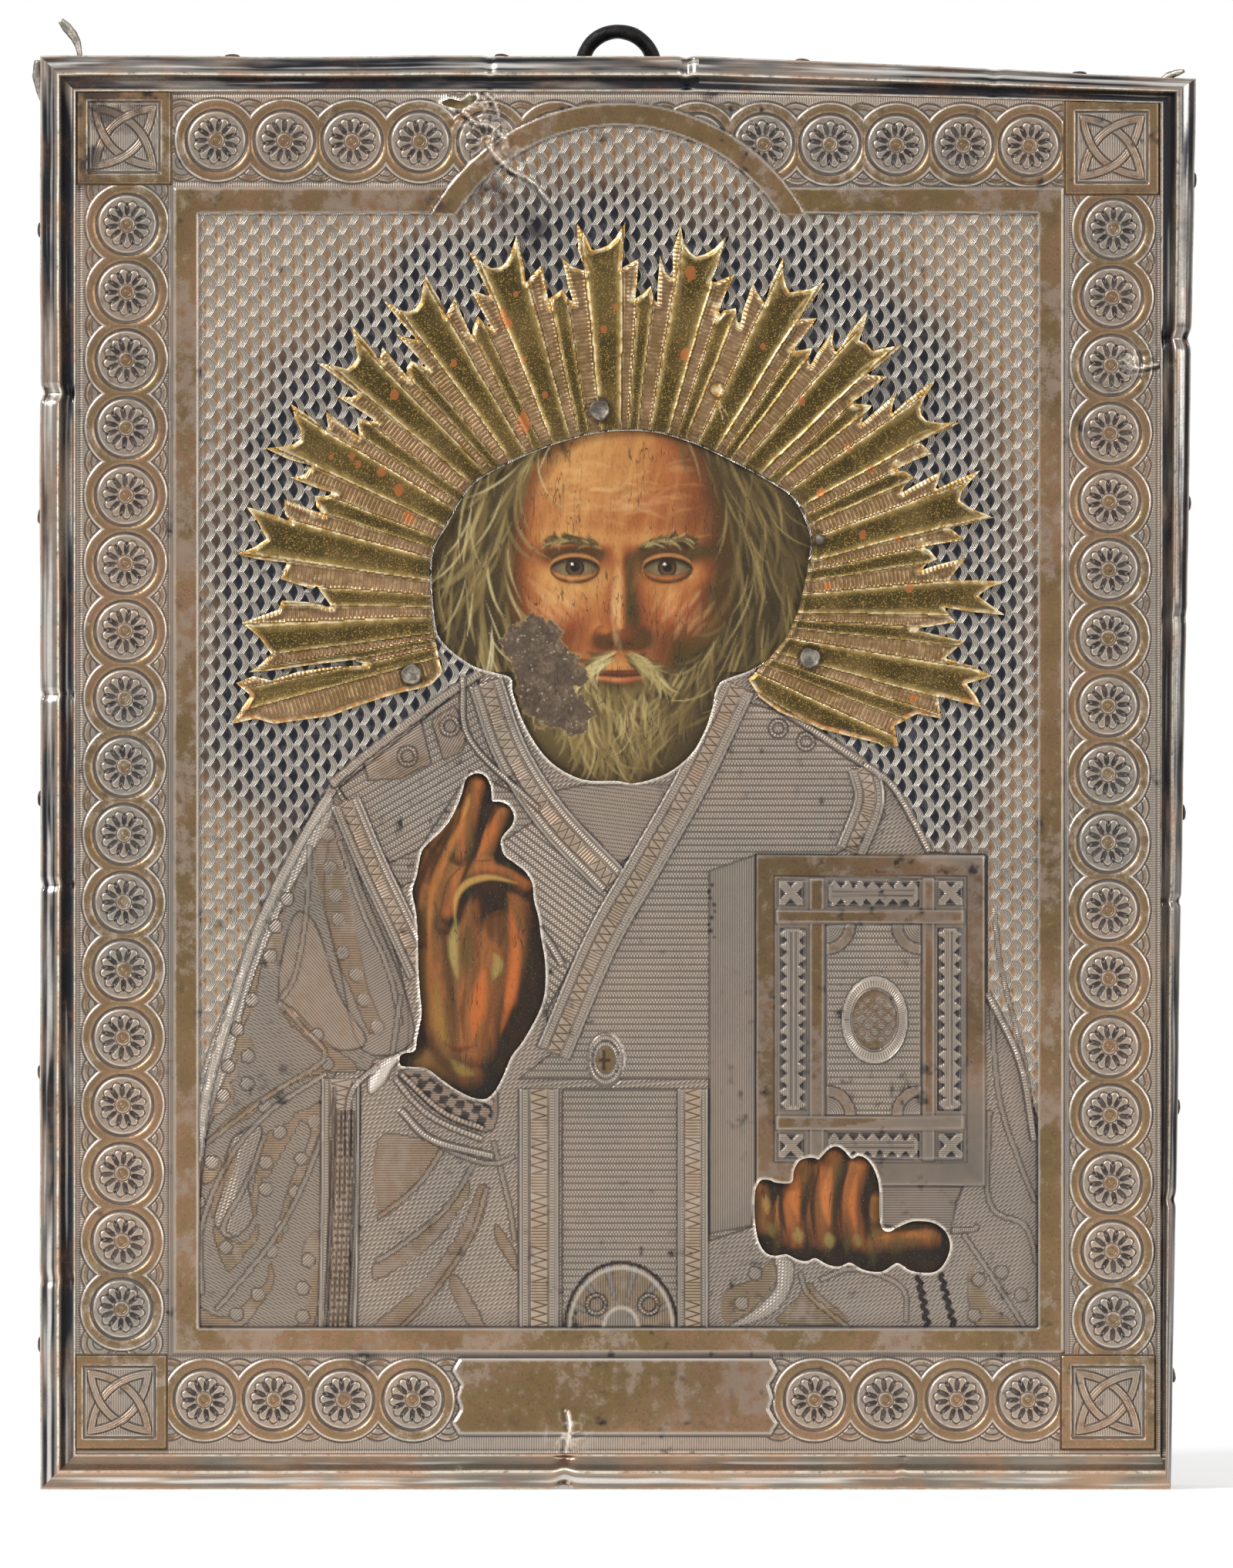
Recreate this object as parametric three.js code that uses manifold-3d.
// An icon cover: a stamped sheet-metal cover with a rayed halo, nailed over a painted wooden panel.
// Millimetres, +Z up. The picture faces -Y, and +X is at the viewer's right.
// The origin is the middle of the flat underside, so the part stands on z = 0.

import * as THREE from "three";
import { mergeVertices } from "three/addons/utils/BufferGeometryUtils.js";
import Module from "manifold-3d";

const wasm = await Module();
wasm.setup();

// The cover over all.
const coverWidth = 179.2;
const coverHeight = 222.2;
const sheetThickness = 0.5;
const rightFootLean = 3.9; // the old panel is out of true: its right foot corner leans in
const rightHeadDrop = 3.5; // and its right head corner is this much low
const dropStartShare = 0.57; // where the head edge starts to fall, across the width
const clearance = 0.3; // between pieces that touch
const overrun = 1; // how far a cutting tool runs past a face
const sink = 0.2; // how deep a raised piece is rooted in the sheet

// The board, its painted ground and its two dovetailed keys.
const boardThickness = 19;
const gessoThickness = 1.2;
const battenLength = 150;
const battenWidth = 20;
const battenDepth = 9;
const battenProud = 3;
const dovetailFlare = 2.5;
const upperBattenHeight = 166;
const lowerBattenHeight = 52;

// The moulded edge and its skirts.
const mouldingWidth = 5.6;
const mouldingRise = 2.4;
const mouldingShoulder = 0.9;
const skirtStop = 1.5; // bare wood behind the skirt's rear edge
// The moulding's section: share of its width from the edge, and share of its rise.
const mouldingProfileShares = [
  [0.1, 0.66],
  [0.46, 1],
  [0.6, 0.93],
  [0.78, 0.38],
];

// The stamped border.
const borderWidth = 15;
const innerBandWidth = 4.1;
const bandRise = 0.5;
const rosetteRadius = 6.4;
const rosetteInnerRadius = 4.75;
const rosetteSides = 8;
const rosetteRise = 0.55;
const bossRise = 0.9;
const rosetteRows = 17; // up each side
const rosettesBesideArch = 5;
const rosettesBesideTitle = 4;
const cornerFrameSize = 12.4;
const cornerFrameBand = 1.3;
const cornerRise = 0.6;
const knotBand = 1.5;
const titleWidth = 50.4;
const titleHeight = 11.8;
const titleRise = 0.6;
const titleNotch = 3.4;

// The arch over the head.
const archOuterRadius = 33.3;
const archBand = 3.8;
const archRise = 0.9;
const archCentreDrop = 40.4; // below the cover's head edge

// The halo.
const haloRadius = 60.2;
const haloThickness = 0.5;
const haloRibRise = 0.8;
const haloLift = 0.3; // over the sheet's front
const haloPitch = 15.1; // degrees from one forked ray to the next, where none is torn
// The forked rays' angles from upright, clockwise. The two at the left end are torn apart.
const haloRayAngles = [
  -103.7, -95.9, -78, -61.5, -46.8, -33.4, -18.7, -2.3, 13, 29, 43.7, 58, 73, 88.3, 102.5,
];
// A forked ray from its middle: share of the pitch, and share of the halo's radius.
const haloForkShares = [[-0.2, 0.868], [-0.23, 1], [0, 0.935], [0.23, 1], [0.2, 0.868]];
// What stands between two forked rays: share of the angle between them, and of the radius.
const haloBetweenShares = [[0.41, 0.905], [0.4, 0.79], [0.51, 0.835], [0.6, 0.79], [0.63, 0.905]];
const haloTearShares = [[0.5, 0.66]];
const haloEndShares = [[0.41, 0.905], [0.5, 0.835], [0.86, 0.8]];
const haloRibShares = { near: 0.48, far: 0.86, spread: 0.15 };

// The gilded book.
const bookRise = 0.7;
const bookFrameRise = 0.4;
const bookBand = 3.3;
const medalWidth = 10.3;
const medalHeight = 13.6;
const medalRise = 0.6;

// Raised bands and folds of the dress.
const stoleWidth = 5.5;
const stoleRise = 0.35;
const stripWidth = 6.2;
const braidWidth = 1.8;
const cuffRise = 0.5;
const buttonWidth = 4.8;
const buttonHeight = 6.4;

// The nails.
const nailHeadRadius = 1.75;
const nailHeadRise = 0.8;
const nailShankRadius = 0.6;
const nailLength = 9;
const smallNailRadius = 0.95;
const nailSides = 8;
const leftNailShares = [0.1, 0.29, 0.482, 0.68, 0.88];
const rightNailShares = [0.08, 0.27, 0.48, 0.7, 0.93];
const headNailShares = [0.165, 0.4, 0.66, 0.9];
const footNailShares = [0.125, 0.37, 0.63, 0.88];
const dishRadius = 2.7; // the seats of the bottom nails
const dishDepth = 1.3;

// The hanging ring and its split-pin eye.
const ringRadius = 5.55;
const ringWireRadius = 1.25;
const eyeRadius = 2.3;
const eyeWireRadius = 0.6;
const eyeLength = 12;
const eyeDrop = 6; // below the cover's head edge

// The strip of sheet sprung from the left head corner.
const sprungWidth = 2;
const sprungHeight = 6.2;
const sprungReach = 3;
const sprungThickness = 0.6;

// Places read off the photograph, in its pixels.
const photoMiddleX = 802;
const photoFootY = 1932;
const photoHeadY = 73;
const faceWindowPixels = [
  [755, 566], [800, 559], [851, 561], [902, 576], [953, 600], [1004, 628], [1032, 650],
  [1050, 690], [1051, 717], [1042, 768], [1024, 825], [1004, 850], [973, 870], [934, 886],
  [925, 916], [915, 947], [897, 978], [866, 1003], [825, 1016], [800, 1013], [755, 1011],
  [714, 988], [684, 947], [666, 901], [663, 880], [643, 873], [612, 863], [576, 835],
  [564, 804], [561, 722], [582, 679], [602, 643], [622, 622], [658, 602], [704, 582],
];
const rightHandPixels = [
  [616, 1004], [632, 1012], [638, 1040], [658, 1043], [667, 1059], [650, 1083], [656, 1111],
  [683, 1131], [692, 1169], [704, 1221], [708, 1262], [704, 1300], [688, 1338], [648, 1410],
  [620, 1424], [592, 1415], [554, 1385], [516, 1380], [520, 1369], [540, 1358], [547, 1307],
  [542, 1221], [535, 1152], [549, 1104], [585, 1066], [604, 1018],
];
const leftHandPixels = [
  [980, 1540], [996, 1530], [1027, 1532], [1039, 1504], [1061, 1503], [1083, 1488],
  [1105, 1503], [1129, 1507], [1139, 1555], [1144, 1593], [1188, 1585], [1223, 1591],
  [1233, 1606], [1218, 1644], [1200, 1650], [1163, 1639], [1134, 1650], [1101, 1637],
  [1050, 1634], [994, 1624], [979, 1586],
];
const titlePixels = [798, 1812];
const bookPixels = { left: 981, right: 1279, head: 1109, foot: 1538 };
const bookFramePixels = { left: 1068, right: 1197, head: 1197, foot: 1447 };
const medalPixels = [1135, 1323];
const buttonPixels = [791, 1374];
const stolePixels = [
  [[945, 925], [882, 1045], [815, 1155], [762, 1257], [722, 1355]],
  [[640, 925], [686, 1018], [740, 1090], [790, 1140]],
];
const stripPixels = [
  [[699, 1440], [699, 1715]],
  [[905, 1440], [905, 1715]],
];
const braidPixels = [
  [[440, 1040], [385, 1180], [330, 1330], [285, 1480], [258, 1600]],
  [[1240, 1060], [1290, 1120], [1320, 1240]],
];
const cuffPixels = [[505, 1395], [560, 1420], [640, 1450], [625, 1500], [540, 1475], [490, 1440]];
const haloPixels = [802, 790];
const haloEndPixels = { left: [570, 882], right: [978, 876] };
const haloNailPixels = { top: [778, 532], left: [534, 875], right: [1051, 854], small: [1064, 700] };

// Depths, from the middle of the flat underside.
const skirtDepth = boardThickness + gessoThickness + 2 * clearance + sheetThickness
  + mouldingShoulder - skirtStop;
const boardBack = skirtStop + skirtDepth / 2;
const boardFront = boardBack - boardThickness;
const gessoBack = boardFront - clearance;
const gessoFront = gessoBack - gessoThickness;
const sheetBack = gessoFront - clearance;
const sheetFront = sheetBack - sheetThickness;
const skirtBack = boardBack - skirtStop;
const haloBack = sheetFront - haloLift;
const haloFront = haloBack - haloThickness;
const boardInset = sheetThickness + clearance;

// Places from pixels.
const pixel = coverHeight / (photoFootY - photoHeadY);
const at = ([x, y]) => new THREE.Vector2((x - photoMiddleX) * pixel, (photoFootY - y) * pixel);
const radians = THREE.MathUtils.degToRad;
const halfWidth = coverWidth / 2;

function solidOf(geometry) {
  const bare = geometry.clone();
  for (const name of Object.keys(bare.attributes)) {
    if (name !== "position") bare.deleteAttribute(name);
  }
  const merged = mergeVertices(bare, 1e-4);
  return new wasm.Manifold(new wasm.Mesh({
    numProp: 3,
    vertProperties: new Float32Array(merged.attributes.position.array),
    triVerts: new Uint32Array(merged.index.array),
  }));
}

function geometryOf(solid) {
  const mesh = solid.getMesh();
  const geometry = new THREE.BufferGeometry();
  geometry.setAttribute("position", new THREE.BufferAttribute(mesh.vertProperties, 3));
  geometry.setIndex(new THREE.BufferAttribute(mesh.triVerts, 1));
  geometry.computeVertexNormals();
  return geometry;
}

const joined = (solids) => solids.reduce((whole, piece) => whole.add(piece));

// An upright plate with the given outline in X and Z, from its back to its front.
function plate(shape, back, front, segments = 12) {
  const geometry = new THREE.ExtrudeGeometry(shape, {
    depth: back - front, bevelEnabled: false, steps: 1, curveSegments: segments,
  });
  geometry.rotateX(Math.PI / 2);
  geometry.translate(0, back, 0);
  return solidOf(geometry);
}

const raised = (shape, rise, segments) => plate(shape, sheetFront + sink, sheetFront - rise, segments);

const outlineOf = (points) => new THREE.Shape(points);

function boxShape(left, foot, right, head) {
  return outlineOf([
    new THREE.Vector2(left, foot), new THREE.Vector2(right, foot),
    new THREE.Vector2(right, head), new THREE.Vector2(left, head),
  ]);
}

function ovalShape(centre, width, height) {
  const shape = new THREE.Shape();
  shape.absellipse(centre.x, centre.y, width / 2, height / 2, 0, 2 * Math.PI);
  return shape;
}

function ringShape(centre, width, height, band) {
  const shape = ovalShape(centre, width, height);
  const hole = new THREE.Path();
  hole.absellipse(centre.x, centre.y, width / 2 - band, height / 2 - band, 0, 2 * Math.PI, true);
  shape.holes.push(hole);
  return shape;
}

// A band of even width along a line of points.
function bandShape(points, width) {
  const sides = [[], []];
  points.forEach((point, i) => {
    const before = points[Math.max(i - 1, 0)];
    const after = points[Math.min(i + 1, points.length - 1)];
    const along = after.clone().sub(before).normalize();
    const across = new THREE.Vector2(-along.y, along.x).multiplyScalar(width / 2);
    sides[0].push(point.clone().add(across));
    sides[1].unshift(point.clone().sub(across));
  });
  return outlineOf([...sides[0], ...sides[1]]);
}

// The outer edge's corners, and the corners of the stamped border inside the moulding.
const dropStart = (dropStartShare - 1 / 2) * coverWidth;
const edgeCorners = [
  new THREE.Vector2(-halfWidth, 0),
  new THREE.Vector2(halfWidth - rightFootLean, 0),
  new THREE.Vector2(halfWidth, coverHeight - rightHeadDrop),
  new THREE.Vector2(dropStart, coverHeight),
  new THREE.Vector2(-halfWidth, coverHeight),
];
const stampLeft = mouldingWidth - halfWidth;
const stampRight = halfWidth - mouldingWidth;
const stampFoot = mouldingWidth;
const stampHead = coverHeight - mouldingWidth;
const stampCorners = [
  new THREE.Vector2(stampLeft, stampFoot),
  new THREE.Vector2(stampRight, stampFoot),
  new THREE.Vector2(stampRight, stampHead - rightHeadDrop / 2),
  new THREE.Vector2(dropStart, stampHead),
  new THREE.Vector2(stampLeft, stampHead),
];

// The corners a share of the way from the edge to the stamped border.
const cornersAt = (share) => edgeCorners.map((corner, i) => corner.clone().lerp(stampCorners[i], share));

// The corners a length in from the edge.
const cornersIn = (inset) => cornersAt(inset / mouldingWidth);

// The bare cover: skirt, moulding and field as one bent sheet, open at the back.
function bareCover() {
  const outside = [[0, skirtBack], [0, sheetFront - mouldingShoulder]];
  const inside = [[sheetThickness / mouldingWidth, skirtBack]];
  inside.push([sheetThickness / mouldingWidth, sheetFront - mouldingShoulder + sheetThickness / 2]);
  for (const [across, up] of mouldingProfileShares) {
    const depth = mouldingShoulder + (mouldingRise - mouldingShoulder) * Math.min(1, up);
    const front = sheetFront - (across < 0.5 ? depth : mouldingRise * up);
    outside.push([across, front]);
    if (across * mouldingWidth > 2 * sheetThickness) inside.push([across, front + sheetThickness]);
  }
  outside.push([1, sheetFront]);
  inside.push([1, sheetBack]);
  const loops = [...outside, ...inside.reverse()].map(([share, y]) =>
    cornersAt(share).map((corner) => [corner.x, y, corner.y]));
  const sides = edgeCorners.length;
  const positions = loops.flat(2);
  const indices = [];
  const quad = (a, b, c, d) => indices.push(a, b, c, a, c, d);
  loops.forEach((loop, k) => {
    if (k === outside.length - 1) return;
    const next = (k + 1) % loops.length;
    for (let i = 0; i < sides; i += 1) {
      const j = (i + 1) % sides;
      quad(k * sides + i, k * sides + j, next * sides + j, next * sides + i);
    }
  });
  const front = (outside.length - 1) * sides;
  const back = outside.length * sides;
  for (let i = 1; i < sides - 1; i += 1) {
    indices.push(front, front + i, front + i + 1);
    indices.push(back, back + i + 1, back + i);
  }
  const geometry = new THREE.BufferGeometry();
  geometry.setAttribute("position", new THREE.Float32BufferAttribute(positions, 3));
  geometry.setIndex(indices);
  return solidOf(geometry);
}

// A rosette: scalloped ring, petals and boss, turned about its own middle.
function rosette(centre) {
  const profile = [
    [0, -sink], [rosetteRadius, -sink], [rosetteRadius, rosetteRise],
    [rosetteInnerRadius, rosetteRise], [rosetteInnerRadius, 0], [0, bossRise],
  ].map(([radius, height]) => new THREE.Vector2(radius, height));
  const geometry = new THREE.LatheGeometry(profile, rosetteSides);
  geometry.rotateX(Math.PI);
  geometry.translate(centre.x, sheetFront, centre.y);
  return solidOf(geometry);
}

// The middles of all rosettes: up both sides, beside the arch and beside the title plate.
function rosetteCentres() {
  const sideX = stampRight - borderWidth / 2;
  const headZ = stampHead - borderWidth / 2;
  const footZ = stampFoot + borderWidth / 2;
  const rise = (headZ - footZ) / (rosetteRows + 1);
  const centres = [];
  for (let i = 1; i <= rosetteRows; i += 1) {
    for (const side of [-1, 1]) centres.push(new THREE.Vector2(side * sideX, footZ + i * rise));
  }
  for (const side of [-1, 1]) {
    for (let i = 1; i <= rosettesBesideArch; i += 1) {
      centres.push(new THREE.Vector2(side * (sideX - i * rise), headZ));
    }
    for (let i = 1; i <= rosettesBesideTitle; i += 1) {
      centres.push(new THREE.Vector2(side * (sideX - i * rise), footZ));
    }
  }
  return centres;
}

// A corner square: a frame with two crossing loops.
function cornerKnot(centre) {
  const half = cornerFrameSize / 2;
  const frame = boxShape(centre.x - half, centre.y - half, centre.x + half, centre.y + half);
  const inner = half - cornerFrameBand;
  frame.holes.push(boxShape(
    centre.x - inner, centre.y - inner, centre.x + inner, centre.y + inner,
  ));
  const loop = cornerFrameSize - 2 * cornerFrameBand;
  const narrow = loop / 2;
  return joined([
    raised(frame, cornerRise),
    raised(ringShape(centre, loop, narrow, knotBand), cornerRise),
    raised(ringShape(centre, narrow, loop, knotBand), cornerRise),
  ]);
}

// The flat gilded band between the border and the field.
function innerBand() {
  const left = stampLeft + borderWidth;
  const right = stampRight - borderWidth;
  const foot = stampFoot + borderWidth;
  const head = stampHead - borderWidth;
  const shape = boxShape(left, foot, right, head);
  shape.holes.push(boxShape(
    left + innerBandWidth, foot + innerBandWidth, right - innerBandWidth, head - innerBandWidth,
  ));
  return raised(shape, bandRise);
}

const archCentre = new THREE.Vector2(0, coverHeight - archCentreDrop);
const archFoot = stampHead - borderWidth - innerBandWidth;

// What lies inside the arch and over its foot is field again.
function archOpening() {
  const reach = archFoot - archCentre.y;
  const radius = archOuterRadius - archBand;
  const start = Math.asin(reach / radius);
  const shape = new THREE.Shape();
  shape.absarc(archCentre.x, archCentre.y, radius, start, Math.PI - start);
  return plate(shape, sheetFront, sheetFront - archRise - overrun, 24);
}

function arch() {
  const reach = archFoot - archCentre.y;
  const inner = archOuterRadius - archBand;
  const outerStart = Math.asin(reach / archOuterRadius);
  const innerStart = Math.asin(reach / inner);
  const shape = new THREE.Shape();
  shape.absarc(archCentre.x, archCentre.y, archOuterRadius, outerStart, Math.PI - outerStart);
  shape.absarc(archCentre.x, archCentre.y, inner, Math.PI - innerStart, innerStart, true);
  return raised(shape, archRise, 24);
}

// The bare title plate with its notched ends.
function titlePlate() {
  const middle = at(titlePixels);
  const half = titleWidth / 2;
  const rise = titleHeight / 2;
  const points = [];
  for (const [x, z] of [
    [half - titleNotch, -rise], [half, -rise / 2], [half - titleNotch, 0], [half, rise / 2],
    [half - titleNotch, rise],
  ]) points.push(new THREE.Vector2(middle.x + x, middle.y + z));
  for (const [x, z] of [
    [half - titleNotch, rise], [half, rise / 2], [half - titleNotch, 0], [half, -rise / 2],
    [half - titleNotch, -rise],
  ]) points.push(new THREE.Vector2(middle.x - x, middle.y + z));
  return raised(outlineOf(points), titleRise);
}

// The book: its boards, the frame round its middle panel and the medallion.
function book() {
  const low = at([bookPixels.left, bookPixels.foot]);
  const high = at([bookPixels.right, bookPixels.head]);
  const boards = boxShape(low.x, low.y, high.x, high.y);
  const border = boxShape(low.x, low.y, high.x, high.y);
  border.holes.push(boxShape(
    low.x + bookBand, low.y + bookBand, high.x - bookBand, high.y - bookBand,
  ));
  const inLow = at([bookFramePixels.left, bookFramePixels.foot]);
  const inHigh = at([bookFramePixels.right, bookFramePixels.head]);
  const frame = boxShape(
    inLow.x - bookBand / 2, inLow.y - bookBand / 2, inHigh.x + bookBand / 2, inHigh.y + bookBand / 2,
  );
  frame.holes.push(boxShape(inLow.x, inLow.y, inHigh.x, inHigh.y));
  const medal = at(medalPixels);
  return joined([
    raised(boards, bookRise),
    raised(border, bookRise + bookFrameRise),
    raised(frame, bookRise + bookFrameRise),
    raised(ringShape(medal, medalWidth, medalHeight, bookBand / 3), bookRise + medalRise),
    raised(ovalShape(medal, medalWidth / 2, medalHeight * 2 / 3), bookRise + medalRise),
  ]);
}

// The raised bands of the dress.
function dress() {
  const bands = stolePixels.map((line) => raised(bandShape(line.map(at), stoleWidth), stoleRise));
  for (const line of stripPixels) bands.push(raised(bandShape(line.map(at), stripWidth), stoleRise));
  for (const line of braidPixels) bands.push(raised(bandShape(line.map(at), braidWidth), cuffRise));
  bands.push(raised(outlineOf(cuffPixels.map(at)), cuffRise));
  bands.push(raised(ringShape(at(buttonPixels), buttonWidth, buttonHeight, buttonWidth / 5), cuffRise));
  return joined(bands);
}

// The strip of sheet that has sprung up from the left head corner.
function sprungStrip() {
  const corner = new THREE.Vector2(stampLeft, coverHeight - sheetThickness);
  const inner = [
    corner, new THREE.Vector2(corner.x - sprungReach / 3, corner.y + sprungHeight / 2),
    new THREE.Vector2(corner.x - sprungReach, corner.y + sprungHeight + sheetThickness),
  ];
  const shape = outlineOf([
    ...inner,
    ...inner.reverse().map((p) => new THREE.Vector2(p.x + sprungWidth, p.y)),
  ]);
  return plate(shape, sheetFront, sheetFront - sprungThickness);
}

// A round tool or boss from a point, along a direction.
function rodSolid(start, direction, radius, length, sides = nailSides) {
  const geometry = new THREE.CylinderGeometry(radius, radius, length, sides);
  geometry.translate(0, length / 2, 0);
  geometry.applyQuaternion(new THREE.Quaternion().setFromUnitVectors(
    new THREE.Vector3(0, 1, 0), direction,
  ));
  geometry.translate(start.x, start.y, start.z);
  return solidOf(geometry);
}

const directions = {
  left: new THREE.Vector3(-1, 0, 0),
  right: new THREE.Vector3(1, 0, 0),
  head: new THREE.Vector3(0, 0, 1),
  foot: new THREE.Vector3(0, 0, -1),
  front: new THREE.Vector3(0, -1, 0),
};

// The seat of every nail: its name, the point on the metal under its head, and the way it faces.
function nailSeats() {
  const seats = [];
  const add = (name, x, y, z, way) => seats.push({ name, point: new THREE.Vector3(x, y, z), way });
  const rightHead = edgeCorners[2];
  leftNailShares.forEach((share, i) => add(
    `side_nail_left_${i + 1}`, -halfWidth, 0, share * coverHeight, directions.left,
  ));
  rightNailShares.forEach((share, i) => {
    const foot = edgeCorners[1];
    add(
      `side_nail_right_${i + 1}`, foot.x + (rightHead.x - foot.x) * share, 0,
      share * rightHead.y, directions.right,
    );
  });
  headNailShares.forEach((share, i) => {
    const x = -halfWidth + share * coverWidth;
    const fall = Math.max(0, (x - dropStart) / (halfWidth - dropStart));
    add(`head_nail_${i + 1}`, x, 0, coverHeight - fall * rightHeadDrop, directions.head);
  });
  footNailShares.forEach((share, i) => add(
    `foot_nail_${i + 1}`, -halfWidth + share * (coverWidth - rightFootLean), 0, dishDepth,
    directions.foot,
  ));
  for (const [side, place] of Object.entries(haloNailPixels)) {
    const spot = at(place);
    add(`halo_nail_${side}`, spot.x, haloFront - haloRibRise, spot.y, directions.front);
  }
  return seats;
}

const seats = nailSeats();
const footSeats = seats.filter((seat) => seat.way === directions.foot);

// The holes that the nails go through, as one cutting tool.
function nailHoles() {
  return joined(seats.map(({ point, way }) => rodSolid(
    point.clone().addScaledVector(way, overrun), way.clone().negate(),
    nailShankRadius + clearance, nailLength + overrun + clearance, 8,
  )));
}

function cover() {
  const archFill = archOpening();
  const border = joined([innerBand(), ...rosetteCentres().map(rosette)]);
  const corners = [];
  for (const side of [-1, 1]) {
    for (const z of [stampFoot + borderWidth / 2, stampHead - borderWidth / 2]) {
      corners.push(cornerKnot(new THREE.Vector2(side * (stampRight - borderWidth / 2), z)));
    }
  }
  let solid = joined([
    bareCover(), border.subtract(archFill), ...corners, arch(), titlePlate(), book(), dress(),
    sprungStrip(),
  ]);
  for (const seat of footSeats) {
    const bossStart = seat.point.clone().setZ(sheetThickness / 2);
    solid = solid.add(rodSolid(
      bossStart, directions.head, dishRadius + sheetThickness, dishDepth + sheetThickness / 2,
    ));
    solid = solid.subtract(rodSolid(
      seat.point.clone().setZ(-overrun), directions.head, dishRadius, dishDepth + overrun,
    ));
  }
  for (const outline of [faceWindowPixels, rightHandPixels, leftHandPixels]) {
    solid = solid.subtract(plate(
      outlineOf(outline.map(at)), sheetBack + overrun, sheetFront - bookRise - overrun,
    ));
  }
  return solid.subtract(nailHoles());
}

// A point of the halo, by its angle from upright and its distance from the halo's middle.
function haloPoint(angle, distance) {
  const middle = at(haloPixels);
  const turn = radians(angle);
  return new THREE.Vector2(
    middle.x + distance * Math.sin(turn), middle.y + distance * Math.cos(turn),
  );
}

function haloOutline() {
  const points = [at(haloEndPixels.left)];
  haloRayAngles.forEach((angle, i) => {
    for (const [turn, reach] of haloForkShares) {
      points.push(haloPoint(angle + turn * haloPitch, reach * haloRadius));
    }
    const gap = haloRayAngles[i + 1] - angle;
    let between = haloBetweenShares;
    if (gap < haloPitch * 2 / 3) between = haloTearShares;
    if (i === haloRayAngles.length - 1) between = haloEndShares;
    for (const [turn, reach] of between) {
      points.push(haloPoint(angle + turn * (gap || haloPitch), reach * haloRadius));
    }
  });
  points.push(at(haloEndPixels.right));
  const middle = at(haloPixels);
  const angleOf = (point) => Math.atan2(point.x - middle.x, point.y - middle.y);
  const lowest = Math.max(...Object.values(haloEndPixels).map((end) => Math.abs(angleOf(at(end)))));
  const inner = faceWindowPixels.map(at)
    .filter((point) => Math.abs(angleOf(point)) < lowest - radians(1))
    .sort((a, b) => angleOf(b) - angleOf(a))
    .map((point) => point.sub(middle).multiplyScalar(1 + clearance / haloRadius * 2).add(middle));
  return outlineOf([...points, ...inner]);
}

function halo() {
  let solid = plate(haloOutline(), haloBack, haloFront);
  for (const angle of haloRayAngles) {
    const { near, far, spread } = haloRibShares;
    const half = spread * haloPitch;
    const rib = outlineOf([
      haloPoint(angle - half, near * haloRadius), haloPoint(angle - half, far * haloRadius),
      haloPoint(angle + half, far * haloRadius), haloPoint(angle + half, near * haloRadius),
    ]);
    solid = solid.add(plate(rib, haloFront + sink, haloFront - haloRibRise));
  }
  return solid.subtract(nailHoles());
}

// The board's outline, a given length in from the cover's edge.
const boardShape = () => outlineOf(cornersIn(boardInset));

// A dovetailed key across the back, grown on all sides by a margin.
function batten(left, height, margin) {
  const half = battenWidth / 2 + margin;
  const narrow = half - dovetailFlare;
  const shape = outlineOf([
    new THREE.Vector2(boardBack - battenDepth - margin, height - half),
    new THREE.Vector2(boardBack, height - narrow),
    new THREE.Vector2(boardBack + battenProud + margin, height - narrow),
    new THREE.Vector2(boardBack + battenProud + margin, height + narrow),
    new THREE.Vector2(boardBack, height + narrow),
    new THREE.Vector2(boardBack - battenDepth - margin, height + half),
  ]);
  const geometry = new THREE.ExtrudeGeometry(shape, {
    depth: battenLength + 2 * margin, bevelEnabled: false, steps: 1,
  });
  geometry.applyMatrix4(new THREE.Matrix4().makeBasis(
    new THREE.Vector3(0, 1, 0), new THREE.Vector3(0, 0, 1), new THREE.Vector3(1, 0, 0),
  ));
  geometry.translate(left - margin, 0, 0);
  return solidOf(geometry);
}

// The upper key slides in from the left edge and the lower one from the right.
const upperBattenLeft = -halfWidth + boardInset + clearance;
const lowerBattenLeft = halfWidth - rightFootLean - boardInset - clearance - battenLength;

// The slot of a key, run out past the edge of the board that the key slides in from.
function battenSlot(left, height, way) {
  const slot = batten(left, height, clearance);
  return slot.add(slot.translate([way * 2 * boardInset, 0, 0]));
}

const eyeStandOff = clearance + eyeRadius + eyeWireRadius;
const hinge = new THREE.Vector3(0, boardBack + eyeStandOff, coverHeight - eyeDrop);
const eyeShankRadius = 1.5 * eyeWireRadius;

function board() {
  let solid = plate(boardShape(), boardBack, boardFront);
  solid = solid.subtract(battenSlot(upperBattenLeft, upperBattenHeight, -1));
  solid = solid.subtract(battenSlot(lowerBattenLeft, lowerBattenHeight, 1));
  for (const seat of footSeats) {
    solid = solid.subtract(rodSolid(
      seat.point.clone().setZ(0), directions.head, dishRadius + sheetThickness + clearance,
      dishDepth + sheetThickness + clearance,
    ));
  }
  const eyeHole = rodSolid(
    hinge, directions.front, eyeShankRadius + clearance, eyeStandOff + eyeLength + clearance, 8,
  );
  return solid.subtract(nailHoles()).subtract(eyeHole);
}

function gesso() {
  return plate(boardShape(), gessoBack, gessoFront).subtract(nailHoles());
}

// One nail standing on its seat: head up along Y, shank down.
function nailGeometry(headRadius, length) {
  const profile = [
    [0, -length], [nailShankRadius, nailShankRadius * 2 - length], [nailShankRadius, 0],
    [headRadius, 0], [headRadius * 0.8, nailHeadRise * 0.75], [0, nailHeadRise],
  ].map(([radius, height]) => new THREE.Vector2(radius, height));
  return new THREE.LatheGeometry(profile, nailSides);
}

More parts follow.
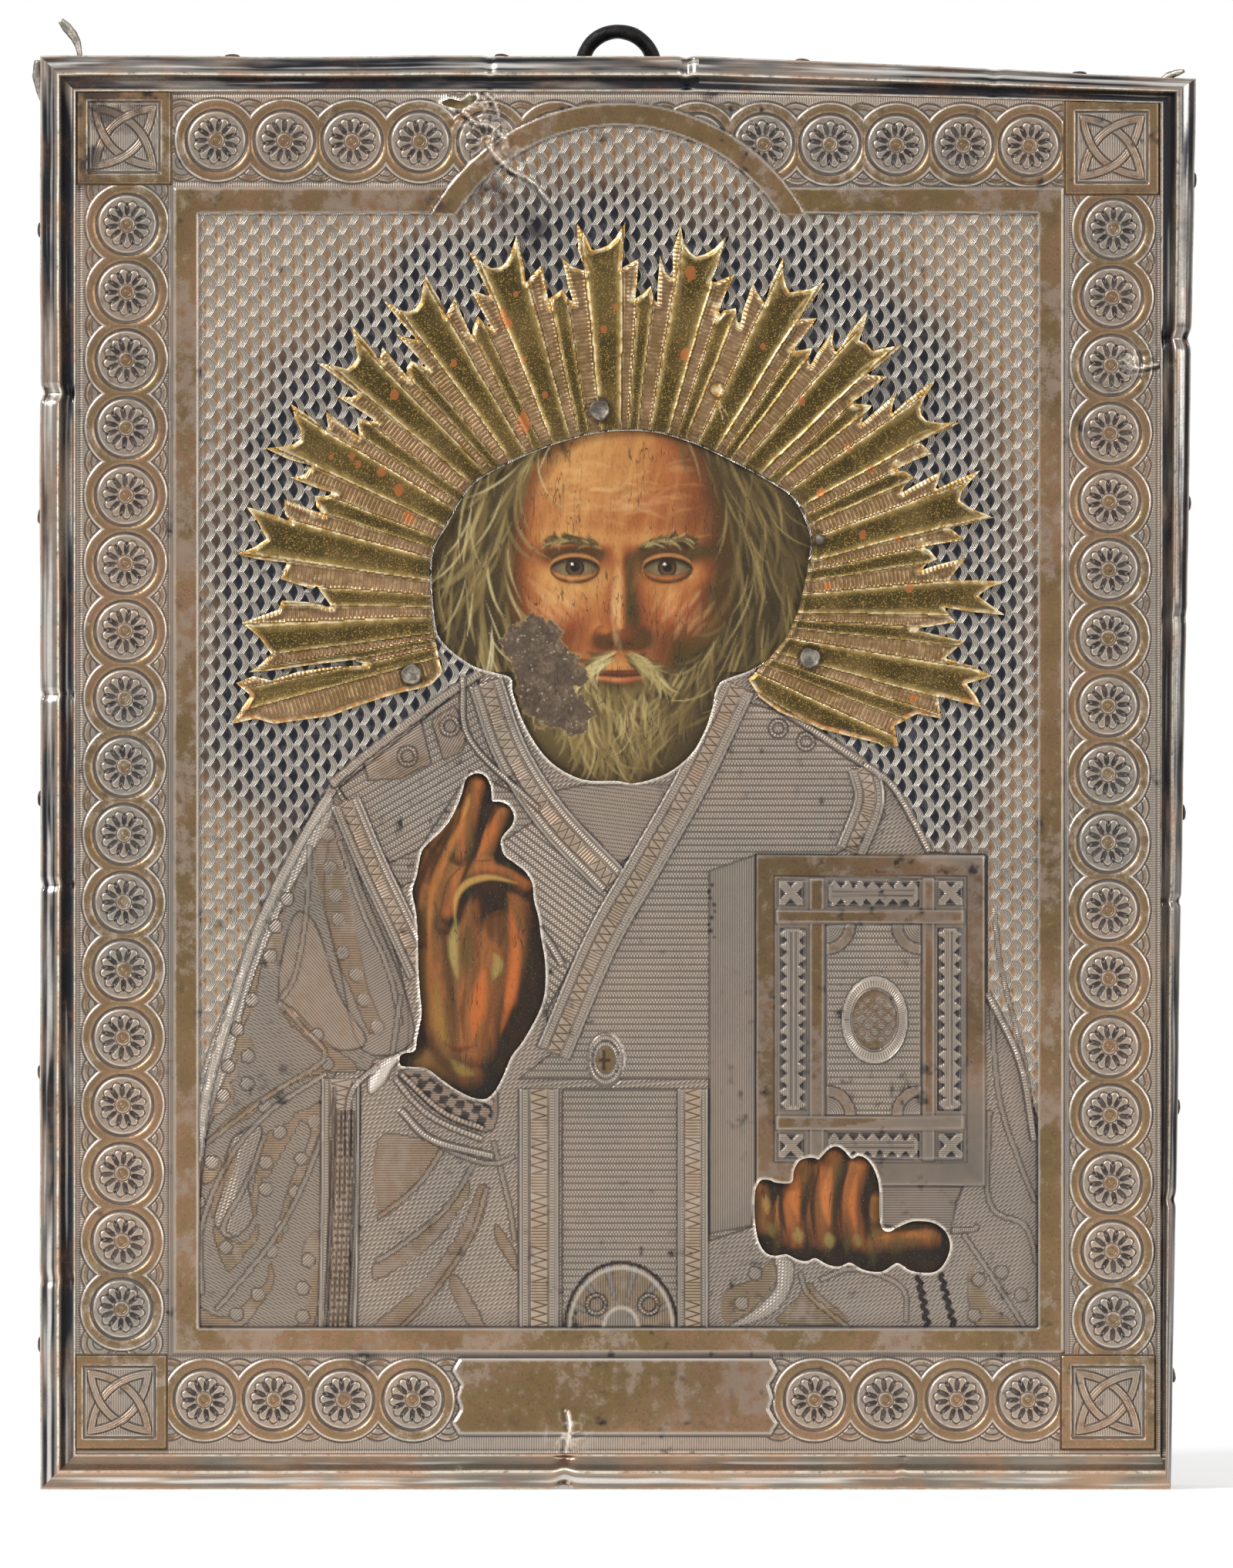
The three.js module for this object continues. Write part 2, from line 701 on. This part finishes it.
function ringEye() {
  const loop = new THREE.TorusGeometry(eyeRadius, eyeWireRadius, 6, 18);
  loop.rotateY(Math.PI / 2);
  loop.translate(hinge.x, hinge.y, hinge.z);
  const shankStart = hinge.clone().addScaledVector(directions.front, eyeRadius);
  return solidOf(loop).add(rodSolid(
    shankStart, directions.front, eyeShankRadius, eyeStandOff - eyeRadius + eyeLength, 8,
  ));
}

// The ring leans forward until its wire meets the board's rear head edge.
function ringLean() {
  const rise = eyeDrop - boardInset;
  const reach = Math.hypot(rise, eyeStandOff);
  return Math.atan2(eyeStandOff, rise) - Math.asin((ringWireRadius + clearance) / reach);
}

const colours = {
  silver: { color: 0x968c80, metalness: 0.9, roughness: 0.42 },
  gilt: { color: 0x9c7c34, metalness: 0.9, roughness: 0.36 },
  iron: { color: 0x1c1a19, metalness: 0.6, roughness: 0.55 },
  steel: { color: 0x8d8b88, metalness: 0.9, roughness: 0.35 },
  wood: { color: 0x7a5634, metalness: 0, roughness: 0.75 },
  paint: { color: 0xa0662f, metalness: 0, roughness: 0.45 },
};

const part = new THREE.Group();

function addPiece(name, geometry, colour, parent = part) {
  const mesh = new THREE.Mesh(geometry, new THREE.MeshStandardMaterial(colours[colour]));
  mesh.name = name;
  parent.add(mesh);
  return mesh;
}

addPiece("icon_board", geometryOf(board()), "wood");
addPiece("gesso_panel", geometryOf(gesso()), "paint");
addPiece("batten_upper", geometryOf(batten(upperBattenLeft, upperBattenHeight, 0)), "wood");
addPiece("batten_lower", geometryOf(batten(lowerBattenLeft, lowerBattenHeight, 0)), "wood");
addPiece("oklad_cover", geometryOf(cover()), "silver");
addPiece("halo", geometryOf(halo()), "gilt");

const nail = nailGeometry(nailHeadRadius, nailLength);
const smallNail = nailGeometry(smallNailRadius, nailLength);
for (const { name, point, way } of seats) {
  const shape = name === "halo_nail_small" ? smallNail : nail;
  const mesh = addPiece(name, shape, way === directions.front ? "steel" : "iron");
  mesh.position.copy(point).addScaledVector(way, clearance);
  mesh.quaternion.setFromUnitVectors(new THREE.Vector3(0, 1, 0), way);
}

addPiece("ring_eye", geometryOf(ringEye()), "iron");
const ringPivot = new THREE.Group();
ringPivot.position.copy(hinge);
ringPivot.rotation.x = ringLean();
part.add(ringPivot);
const ringGeometry = new THREE.TorusGeometry(ringRadius, ringWireRadius, 8, 28);
ringGeometry.rotateX(Math.PI / 2);
ringGeometry.translate(0, 0, ringRadius);
addPiece("hanging_ring", ringGeometry, "iron", ringPivot);

export default part;
